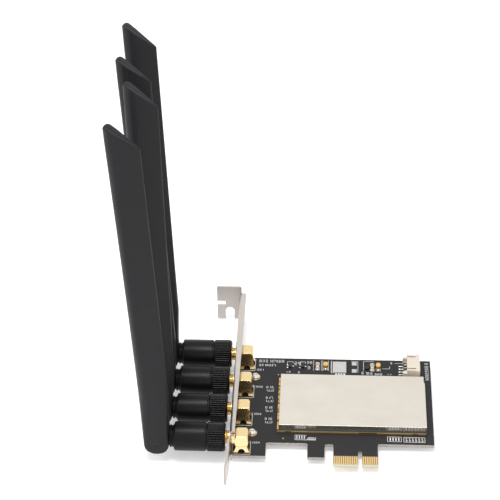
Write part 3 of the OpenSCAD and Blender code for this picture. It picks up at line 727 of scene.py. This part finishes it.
def grip_parts():
    """Coupling nut: straight knurling between two narrow plain rims. Its ridges follow the size of a
    cosine, cut flat at both ends."""
    low, high = near_box("coupling_nut_1")
    start, end, radius = low[0], high[0], (high[2] - low[2]) / 2

    def knurl(along, angle):
        begun = smooth_step(along, start + 0.5, start + 0.65)
        ended = smooth_step(along, end - 1.1, end - 0.98)
        crest = np.clip(np.abs(np.cos(RIDGES * angle / 2)) * 1.7 - 0.35, 0, 1)
        return begun * (1 - ended) * RIDGE_DEPTH * (1 - crest)

    along = np.concatenate([np.linspace(start + 0.45, start + 0.7, 4),
                            np.linspace(start + 0.9, end - 1.2, 6),
                            np.linspace(end - 1.12, end - 0.96, 4)])
    outside = np.stack([along, np.full(len(along), radius)], -1)
    entry = rounded([(start, GRIP_BORE, 0), (start, radius - 0.1, 0.4), (start + 0.44, radius, 0)])
    closing = rounded([(end - 0.95, radius, 0), (end - 0.1, radius - 0.5, 0.5),
                       (end, radius - 1.1, 0.4), (end, GRIP_BORE, 0)])
    skin = turned(np.concatenate([entry, outside, closing]), RIDGES * 8, knurl)
    bore = turned([(end, GRIP_BORE), (start, GRIP_BORE)], RIDGES * 8)
    return [skin, bore]


def swivel_parts():
    """Swivel: a boss behind the coupling nut, a smooth barrel with a bore for the plug and a narrower
    neck, all one turned profile, and the hinge's tongue, a half round outline in four levels."""
    low, high = near_box("swivel_body_2")
    front = high[0]
    start, radius = front - BOSS_LEN, (high[2] - low[2]) / 2 + 0.12
    end = start - SWIVEL_LEN
    bore_end, bore = start - 9, 2.8
    groove, foot = NECK_R - 0.4, end - NECK_LEN
    plug_bore = [(bore_end, 0, 0), (bore_end, bore, 0), (front, bore, 0.1)]
    outside = [(front, BOSS_R, 0.1), (start, BOSS_R, 0.05), (start, radius - 0.1, 0.6),
               (start - 0.6, radius, 0.3), (end + 0.4, radius, 0.3), (end, radius - 0.5, 0.4)]
    neck = [(end, NECK_R, 0.1), (end - 0.6, NECK_R, 0.1), (end - 0.75, groove, 0.1),
            (end - 1.15, groove, 0.1), (end - 1.3, NECK_R, 0.1), (foot, NECK_R, 0.35), (foot, 0, 0)]
    barrel = turned(rounded(plug_bore + outside + neck), 96)
    angle = np.linspace(-np.pi / 2, np.pi / 2, 25)
    arc = np.stack([HINGE_X - TONGUE_R * np.cos(angle), TONGUE_R * np.sin(angle)], -1)
    outline = np.concatenate([arc, [[end, TONGUE_R], [end, -TONGUE_R]]])
    levels = [(-2.2, 0.25), (-1.95, 0), (1.95, 0), (2.2, 0.25)]
    centre = np.array([HINGE_X + 2, 0])
    rows = []
    for y, inset in levels:
        away = outline - centre
        ring = centre + away * (1 - inset / np.linalg.norm(away, axis=1, keepdims=True))
        rows.append(np.stack([ring[:, 0], np.full(len(ring), y), ring[:, 1]], -1))
    tongue = np.stack(rows)
    faces = grid_faces(len(levels), len(outline), closed=True).tolist()
    faces += [list(range(len(outline)))[::-1], [3 * len(outline) + k for k in range(len(outline))]]
    return [barrel, (tongue, faces)]


def dress(name, parts, node, body, sharp):
    """A piece in the paint of its node's slot, which stands for that node."""
    slot = SLOTS[node]
    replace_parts(build(name, parts, PAINTS[slot], body, sharp), node)


def make_antennas():
    """Grip, swivel and two half shells of each antenna."""
    for i in ANTENNAS:
        shift = np.array(JOINTS[f"nut_spin_{i}"]["pos_m"])
        grip = [(points * MM + shift, faces) for points, faces in grip_parts()]
        dress(f"grip_{i}", grip, f"coupling_nut_{i}", f"nut_{i}", 40)
        swivel = [on_swivel(i, part) for part in swivel_parts()]
        dress(f"swivel_{i}_skin", swivel, f"swivel_body_{i}", f"swivel_{i}", 40)
        for side, half in ((-1, "front"), (1, "back")):
            shell = [on_paddle(i, paddle_half(side))]
            dress(f"paddle_{half}_{i}_skin", shell, f"paddle_{half}_{i}", f"paddle_{i}", 28)


# Jacks

# Threaded barrel: radius, place, bore and lead-in of its mouth, pitch and depth of its thread
BARREL_R = 3.175
MOUTH_X = -8.65
MOUTH_BORE = 2.4
MOUTH_R = 2.85
THREAD_PITCH = 0.706
THREAD_DEPTH = 0.38
# Block: its two ends, half its width, and the radii and length of its turned ends and worn corners
BLOCK = (2.2, 8.1)
BLOCK_HALF = 3.2
END_R = 3.62
CORNER_R = 4.42
END_LEN = 0.85
# Base: the block's middle, the base's half width, the arch under it, and the legs in the board
JACK_X = (BLOCK[0] + BLOCK[1]) / 2
BASE_HALF = 3.7
ARCH_R = 1.6
ARCH_TOP = 2.2
LEG_AT = 2.7
LEG_R = 0.55
LEG_SIDES = ((-1, -1), (1, -1), (-1, 1), (1, 1))


def leg_spots(y):
    """The places of the four legs of the jack in row y."""
    return [(JACK_X + LEG_AT * a, y + LEG_AT * b) for a, b in LEG_SIDES]


def jack_body():
    """Barrel and block in one turned surface. On the barrel a saw of one pitch climbs with the angle,
    which is a helix. On the block the radius is the least of a square's, of the turned end's and of
    the worn corner's: r = min(half / max(|cos t|, |sin t|), END_R + distance from the end, CORNER_R)."""
    angle = np.linspace(0, 2 * np.pi, 144, endpoint=False)
    length = BLOCK[1] - BLOCK[0]
    thread = np.arange(MOUTH_X + 0.2, -0.6, 0.075)
    plain = (-0.5, 0.9, BLOCK[0] - 0.02)
    steps = np.linspace(0, END_LEN, 14)
    block = np.concatenate([steps, [length - END_LEN - 0.01], length - steps[::-1]])
    rows = [(MOUTH_X, MOUTH_BORE + 0 * angle), (MOUTH_X, MOUTH_R + 0 * angle)]
    for along in thread:
        phase = np.mod(along / THREAD_PITCH - angle / (2 * np.pi), 1)
        tooth = np.abs(2 * phase - 1)
        rows.append((along, BARREL_R - THREAD_DEPTH * np.clip(1.25 * tooth - 0.1, 0, 1)))
    rows += [(along, BARREL_R + 0 * angle) for along in plain]
    square = BLOCK_HALF / np.maximum(np.abs(np.cos(angle)), np.abs(np.sin(angle)))
    for d in block:
        end = min(d, length - d)
        rows.append((BLOCK[0] + d, np.minimum(square, min(END_R + end, CORNER_R))))
    back = BLOCK[1] + 0.02
    rows += [(BLOCK[1], 2.6 + 0 * angle), (back, 2.5 + 0 * angle), (back, 0.01 + 0 * angle)]
    rings = [np.stack([along + 0 * angle, r * np.cos(angle), r * np.sin(angle)], -1) for along, r in rows]
    return np.stack(rings), grid_faces(len(rows), len(angle), closed=True)


def base_quarter(a, b):
    """One quarter of the base under the block, a square from (inner, inner) to (outer, outer) at each
    height: the inner side follows the arch, z = low + sqrt(r r - x x), and the outer one the flare."""
    z = np.concatenate([[0.0, 0.75], np.linspace(0.95, ARCH_TOP, 14), [2.6, 3.0, 3.45]])
    inner = np.sqrt(np.clip(ARCH_R ** 2 - np.clip(z - (ARCH_TOP - ARCH_R), 0, None) ** 2, 0, None))
    flare = np.clip((z - 0.85) / 1.7, 0, 1)
    outer_x = BASE_HALF - 0.95 * flare ** 0.55
    outer_y = BASE_HALF - 0.7 * flare ** 0.55
    cut = 0.12
    ring = [(inner, inner), (outer_x, inner), (outer_x, outer_y - cut), (outer_x - cut, outer_y),
            (inner, outer_y)]
    rows = np.stack([np.stack([a * x, b * y, z], -1) for x, y in ring], 1)
    faces = grid_faces(len(z), len(ring), closed=True).tolist()
    last = (len(z) - 1) * len(ring)
    return rows, faces + [list(range(len(ring))), [last + k for k in range(len(ring))][::-1]]


def make_jacks():
    """Each jack: turned body, four quarters of its base and four legs through the board."""
    end = -BOARD_T - 0.8
    leg = turned(rounded([(end, 0, 0), (end, LEG_R, 0.2), (0.3, LEG_R, 0), (0.3, 0, 0)]), 16)
    for i, y in zip(ANTENNAS, JACK_Y):
        parts = [on_card(jack_body(), (0, y, AXIS_Z))]
        for (a, b), spot in zip(LEG_SIDES, leg_spots(y)):
            parts.append(on_card(base_quarter(a, b), (JACK_X, y, 0)))
            parts.append(on_card(upright(leg), (*spot, 0)))
        dress(f"jack_{i}_skin", parts, f"antenna_jack_{i}", "card", 28)


# Printed and soldered details on the board

# Rows of small parts, which their marks, lands and solder share
RESISTOR_Y = (27.3, 35.0, 41.7, 49.1)
TRANSISTOR_X = (25.9, 31.9)
TANTALUM_X = (43, 68.3)
CERAMIC_X = (39.1, 65.4)
LEAD_Y = [61.75 + 2 * k for k in range(4)]
# Heights from the board's upper side: the foot of every mark and land, and the tops of ink and lands
SUNK = -0.01
INK_TOP = 0.025
LAND_TOP = 0.045
# Where a gold ring begins on the upper and on the lower side, and its thickness
RING_LEVELS = (SUNK, -BOARD_T - 0.04)
RING_THICK = 0.05
# Inner and outer radius of the gold rings round screws, jacks' legs, jacks' pins and through holes
SCREW_RING = (1.25, 2.35)
LEG_RING = (LEG_R + 0.01, 1.0)
PIN_RING = (0.47, 0.85)
HOLE_RING = (0.14, 0.34)
SCREW_SPOTS = ((9.4, 19.95), (9.4, 58.3))
HOLE_SPOTS = ((23.9, 16.7), (20.4, 60.2))

SEGMENTS = {"0": "abcdef", "1": "bc", "2": "abged", "3": "abgcd", "4": "fgbc", "5": "afgcd",
            "6": "afgedc", "7": "abc", "8": "abcdefg", "9": "abcfgd"}


def digits(text, x, y, height, line):
    """Plain numbers from straight strokes, as rectangles: x, y is the lower left corner."""
    wide = height * 0.55
    mid = height / 2
    bars = {"a": (0, height - line, wide, height), "g": (0, mid - line / 2, wide, mid + line / 2),
            "d": (0, 0, wide, line), "f": (0, mid, line, height), "e": (0, 0, line, mid),
            "b": (wide - line, mid, wide, height), "c": (wide - line, 0, wide, mid)}
    rects = []
    for k, sign in enumerate(text):
        left = x + k * wide * 1.45
        strokes = [bars[segment] for segment in SEGMENTS[sign]]
        rects += [(left + x0, y + y0, left + x1, y + y1) for x0, y0, x1, y1 in strokes]
    return rects


def frame_lines(x0, y0, x1, y1, line, sides="lrbt"):
    """The printed outline of a rectangle, or some of its sides: left, right, bottom, top."""
    lines = {"l": (x0, y0, x0 + line, y1), "r": (x1 - line, y0, x1, y1), "b": (x0, y0, x1, y0 + line),
             "t": (x0, y1 - line, x1, y1)}
    return [lines[side] for side in sides]


def turn_quarter(rects, x, y):
    """Rectangles turned a quarter to the right about (x, y), for numbers that read downwards: what lay
    to the right goes down, and what lay above goes right."""
    return [(x + y0 - y, y - (x1 - x), x + y1 - y, y - (x0 - x)) for x0, y0, x1, y1 in rects]


def bar_row(count, pitch, x0, y0, x1, y1):
    """Equal marks in a row along x."""
    return [(x0 + pitch * k, y0, x1 + pitch * k, y1) for k in range(count)]


# Numbers along the board's far edge: digits, lower left corner, height and stroke
NUMBERS = (
    ("80210460", 10.9, 68.9, 1.95, 0.3), ("2310357", 10.9, 66.2, 1.5, 0.26), ("24", 27.9, 67.4, 2.3, 0.3),
    ("86", 24.2, 61.6, 1.4, 0.34), ("5", 29.8, 61.5, 1.4, 0.3), ("00", 34.0, 68.5, 1.8, 0.26),
    ("31", 34.3, 64.6, 2.2, 0.26), ("61", 60.2, 61.6, 1.9, 0.32), ("08", 62.9, 61.4, 1.9, 0.3),
    ("000", 66.6, 61.1, 1.6, 0.28), ("88", 72.6, 61.2, 1.5, 0.4), ("2", 74.2, 69.3, 1.5, 0.26),
)
# Printed outlines: lower left corner, upper right corner, stroke, and the sides that are drawn
OUTLINES = (
    (37.1, 63.8, 41.0, 71.0, 0.2, "lr"), (41.5, 63.8, 44.4, 71.0, 0.2, "lr"),
    (45.5, 62.5, 45.9, 70.9, 0.18, "lr"), (45.5, 62.2, 52.9, 62.5, 0.2, "b"),
    (55.3, 62.8, 58.6, 71.0, 0.2, "rt"), (61.1, 64.5, 63.0, 71.0, 0.22, "l"),
    (61.4, 70.6, 66.2, 71.0, 0.18, "t"), (70.1, 65.8, 73.9, 67.6, 0.24, "br"),
    (29.3, 15.9, 34.6, 19.2, 0.2, "lt"), (29.3, 15.9, 39.1, 16.3, 0.26, "b"),
    (71.8, 16.0, 78.4, 19.3, 0.22, "lrbt"), (79.3, 15.8, 89.2, 19.2, 0.24, "lrbt"),
)
# Rows of small marks: how many, their pitch, and the first one's corners
MARK_ROWS = (
    (1, 0, 76.2, 69.9, 80.9, 70.1), (4, 1.3, 47.6, 60.9, 48.5, 61.9),
    (4, 1.15, 30.0, 16.6, 30.45, 18.8), (1, 0, 34.9, 16.4, 38.9, 16.9),
    (1, 0, 35.4, 17.4, 38.2, 17.7), (1, 0, 38.6, 16.6, 39.0, 17.6),
    (4, 1.3, 72.9, 16.6, 73.45, 18.7), (6, 1.45, 80.3, 16.5, 81.1, 17.2),
    (6, 1.45, 80.3, 17.8, 80.9, 18.5),
)
# Rows of the numbers beside the four jacks, and the start of the number down the board's free end
JACK_NUMBER_Y = (12.9, 32.0, 50.8, 62.9)
END_NUMBER = (90.6, 70.6)


def print_marks():
    """Outlines round the jacks and small parts, plain numbers and rows of marks."""
    rects = []
    for k, (y, number_y) in enumerate(zip(JACK_Y, JACK_NUMBER_Y)):
        rects += frame_lines(1.3, y - 4.4, 9.2, y + 4.3, 0.22, "br")
        rects += digits(f"130{4 - k}", 9.5, number_y, 1.25, 0.2)
    for k, y in enumerate(RESISTOR_Y):
        rects += digits(f"0{15 + k}", 15.0, y + 1.4, 1.55, 0.25)
        rects += frame_lines(15.3, y - 0.75, 18.5, y + 0.8, 0.18, "lrb")
    for x in TRANSISTOR_X:
        rects += frame_lines(x - 1.5, 69.0, x + 1.4, 69.9, 0.22, "t")
        rects += frame_lines(x - 1.5, 68.7, x + 1.4, 69.9, 0.22, "lr")
    for number in NUMBERS:
        rects += digits(*number)
    for outline in OUTLINES:
        rects += frame_lines(*outline)
    for row in MARK_ROWS:
        rects += bar_row(*row)
    rects += turn_quarter(digits("813066004", *END_NUMBER, 1.75, 0.27), *END_NUMBER)
    build("printed_marks", [on_card(slabs(rects, SUNK, INK_TOP))], INK, "card")


def ring(spot, radii, low, thick=RING_THICK):
    """A flat ring round a spot: a rectangle between two radii, carried round an upright axis."""
    inner, outer = radii
    high = low + thick
    profile = [(low, inner), (low, outer), (high, outer), (high, inner), (low, inner)]
    return on_card(upright(turned(profile, 40)), (*spot, 0))


def tinned_lands():
    """Bare tinned lands of the small parts and of the empty place beside them, as rectangles."""
    lands = [(46.4, 62.7, 52.9, 70.4), (55.6, 67.9, 57.9, 70.4), (55.6, 62.8, 57.9, 65.2)]
    for x in TRANSISTOR_X:
        lands += [(x - 1.75, low, x - 0.7, low + 0.8) for low in (65.2, 67.1)]
        lands.append((x + 0.7, 66.2, x + 1.8, 67.0))
    for half, row in ((1.1, TANTALUM_X), (1.0, CERAMIC_X)):
        for x in row:
            lands += [(x - half, 64.0, x + half, 66.0), (x - half, 67.6, x + half, 69.3)]
    for y in RESISTOR_Y:
        lands += [(x, y - 0.4, x + 0.6, y + 0.4) for x in (16.1, 17.3)]
    return lands + [(77.9, y - 0.4, 80.4, y + 0.5) for y in LEAD_Y]


def plate_pads():
    """Tinned lands, gold rings round screws, legs and pins, and small through holes."""
    lands = slabs(tinned_lands(), SUNK, LAND_TOP)
    build("tinned_lands", [on_card(lands)], SOLDER, "card")
    rings = [ring(spot, SCREW_RING, SUNK) for spot in SCREW_SPOTS]
    for y in JACK_Y:
        for low in RING_LEVELS:
            rings += [ring(spot, LEG_RING, low) for spot in leg_spots(y)]
            rings.append(ring((JACK_X, y), PIN_RING, low))
    for spot in HOLE_SPOTS:
        rings += [ring(spot, HOLE_RING, low, 0.04) for low in (SUNK, -BOARD_T - 0.03)]
    build("gold_rings", rings, PAD_GOLD, "card")


def solder_drops():
    """Solder at the small parts' ends, the header's leads and under the jacks."""
    spots = []
    for x in TANTALUM_X + CERAMIC_X:
        spots += [(x, 65.05, 0.75, 0.36, 0.42), (x, 68.5, 0.7, 0.3, 0.4)]
    for x in TRANSISTOR_X:
        spots += [(x - 1.3, y, 0.42, 0.34, 0.3) for y in (65.6, 67.5)]
        spots.append((x + 1.35, 66.6, 0.42, 0.34, 0.3))
    for y in RESISTOR_Y:
        spots += [(x, y, 0.28, 0.32, 0.3) for x in (16.35, 17.65)]
    spots += [(78.8, y, 0.9, 0.42, 0.42) for y in LEAD_Y]
    parts = [on_card(part) for part in blobs(spots)]
    under = []
    for y in JACK_Y:
        under += [(*spot, 0.92, 0.92, 0.75) for spot in leg_spots(y)]
        under.append((JACK_X, y, 0.75, 0.75, 0.6))
    for points, faces in blobs(under):
        parts.append(on_card((points * (1, 1, -1), faces), (0, 0, -BOARD_T)))
    build("solder_drops", parts, SOLDER, "card", 50)


# The card's parts with rounded edges, and how far the edges are rounded
ROUNDED_EDGES = {"bracket": 0.16, "header_housing": 0.12, "module_shield": 0.28, "transistors": 0.1,
                 "tantalum_capacitors": 0.14, "ceramic_capacitors": 0.12, "bracket_screws": 0.1,
                 "round_inductor": 0.12, "header_pins": 0.05}


def soften_card():
    """Rounded edges on the card's own parts."""
    for node, bevel in ROUNDED_EDGES.items():
        softened(node, bevel)


# Studio

# The camera: its place, its turns in degrees around the card, above it and of roll, and its lens
CAMERA_AT = (41.38, -572.57, 572.84)
CAMERA_TURNS = (3.05, 38.11, -0.88)
LENS = 127.75


def set_camera():
    """The photograph's view: a long lens, from in front and above."""
    camera = bpy.data.cameras.new("camera")
    camera.lens = LENS
    camera.sensor_width = 36
    camera.clip_start = 0.01
    camera.clip_end = 20
    piece = bpy.data.objects.new("camera", camera)
    around, above, roll = (math.radians(a) for a in CAMERA_TURNS)
    turn = Euler((math.pi / 2 - above, 0, around)).to_matrix() @ Euler((0, 0, roll)).to_matrix()
    piece.rotation_euler = turn.to_euler()
    piece.location = Vector(CAMERA_AT) * MM + Vector(CORNER)
    bpy.context.scene.collection.objects.link(piece)
    bpy.context.scene.camera = piece


def see_white(paint):
    """1 for the rays that show the background: seen straight, mirrored or through glass."""
    kinds = ("Camera", "Glossy", "Transmission")
    rays = [paint.node("LightPath", output=f"Is {kind} Ray") for kind in kinds]
    return (rays[0] + rays[1] + rays[2]) > 0.5


def set_floor():
    """A pale floor level with the card's lowest edge, which keeps a soft shadow."""
    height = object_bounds()[0][2] - 0.3 * MM
    reach = 6.0
    corners = [(-reach, -reach, height), (reach, -reach, height),
               (reach, reach, height), (-reach, reach, height)]
    mesh = bpy.data.meshes.new("floor")
    mesh.from_pydata(corners, [], [(0, 1, 2, 3)])
    floor = bpy.data.objects.new("floor", mesh)
    paint = Paint("floor_white", (0.9, 0.9, 0.9), 0.9, Specular_IOR_Level=0.0)
    paint.feed("Emission Color", paint.blend(see_white(paint), (0, 0, 0), (0.38, 0.38, 0.38)))
    paint.feed("Emission Strength", 1.0)
    mesh.materials.append(paint.material)
    bpy.context.scene.collection.objects.link(floor)


def set_world():
    """White for what is seen and mirrored, and a plain level of light from all sides."""
    world = bpy.data.worlds.new("studio")
    world.use_nodes = True
    tree = world.node_tree
    tree.nodes.clear()
    rays = tree.nodes.new("ShaderNodeLightPath")
    seen = tree.nodes.new("ShaderNodeMath")
    seen.operation = "MAXIMUM"
    tree.links.new(rays.outputs["Is Camera Ray"], seen.inputs[0])
    tree.links.new(rays.outputs["Is Glossy Ray"], seen.inputs[1])
    through = tree.nodes.new("ShaderNodeMath")
    through.operation = "MAXIMUM"
    tree.links.new(seen.outputs[0], through.inputs[0])
    tree.links.new(rays.outputs["Is Transmission Ray"], through.inputs[1])
    mix = tree.nodes.new("ShaderNodeMixShader")
    out = tree.nodes.new("ShaderNodeOutputWorld")
    for k, strength in ((1, 0.55), (2, 1.0)):
        light = tree.nodes.new("ShaderNodeBackground")
        light.inputs["Color"].default_value = (1, 1, 1, 1)
        light.inputs["Strength"].default_value = strength
        tree.links.new(light.outputs[0], mix.inputs[k])
    tree.links.new(through.outputs[0], mix.inputs[0])
    tree.links.new(mix.outputs[0], out.inputs[0])
    bpy.context.scene.world = world


def set_lamp(name, place, aim, size, power):
    """A square soft box at place, turned to aim, in millimetres from the card's corner."""
    lamp = bpy.data.lights.new(name, "AREA")
    lamp.size = size * MM
    lamp.energy = power
    piece = bpy.data.objects.new(name, lamp)
    start = Vector(place) * MM + Vector(CORNER)
    away = Vector(aim) * MM + Vector(CORNER) - start
    piece.location = start
    piece.rotation_euler = away.to_track_quat("-Z", "Y").to_euler()
    bpy.context.scene.collection.objects.link(piece)


def set_studio():
    """Camera, floor, world and three soft boxes."""
    set_camera()
    set_floor()
    set_world()
    set_lamp("top_box", (-30, -20, 700), (0, 40, 10), 220, 2.6)
    set_lamp("left_box", (-560, -120, 420), (-20, 40, 60), 380, 1.2)
    set_lamp("front_box", (220, -640, 380), (30, 40, 40), 420, 0.8)
    bpy.context.scene.view_settings.view_transform = "Standard"


set_studio()
finish_nodes()
soften_card()
make_antennas()
make_jacks()
print_marks()
plate_pads()
solder_drops()
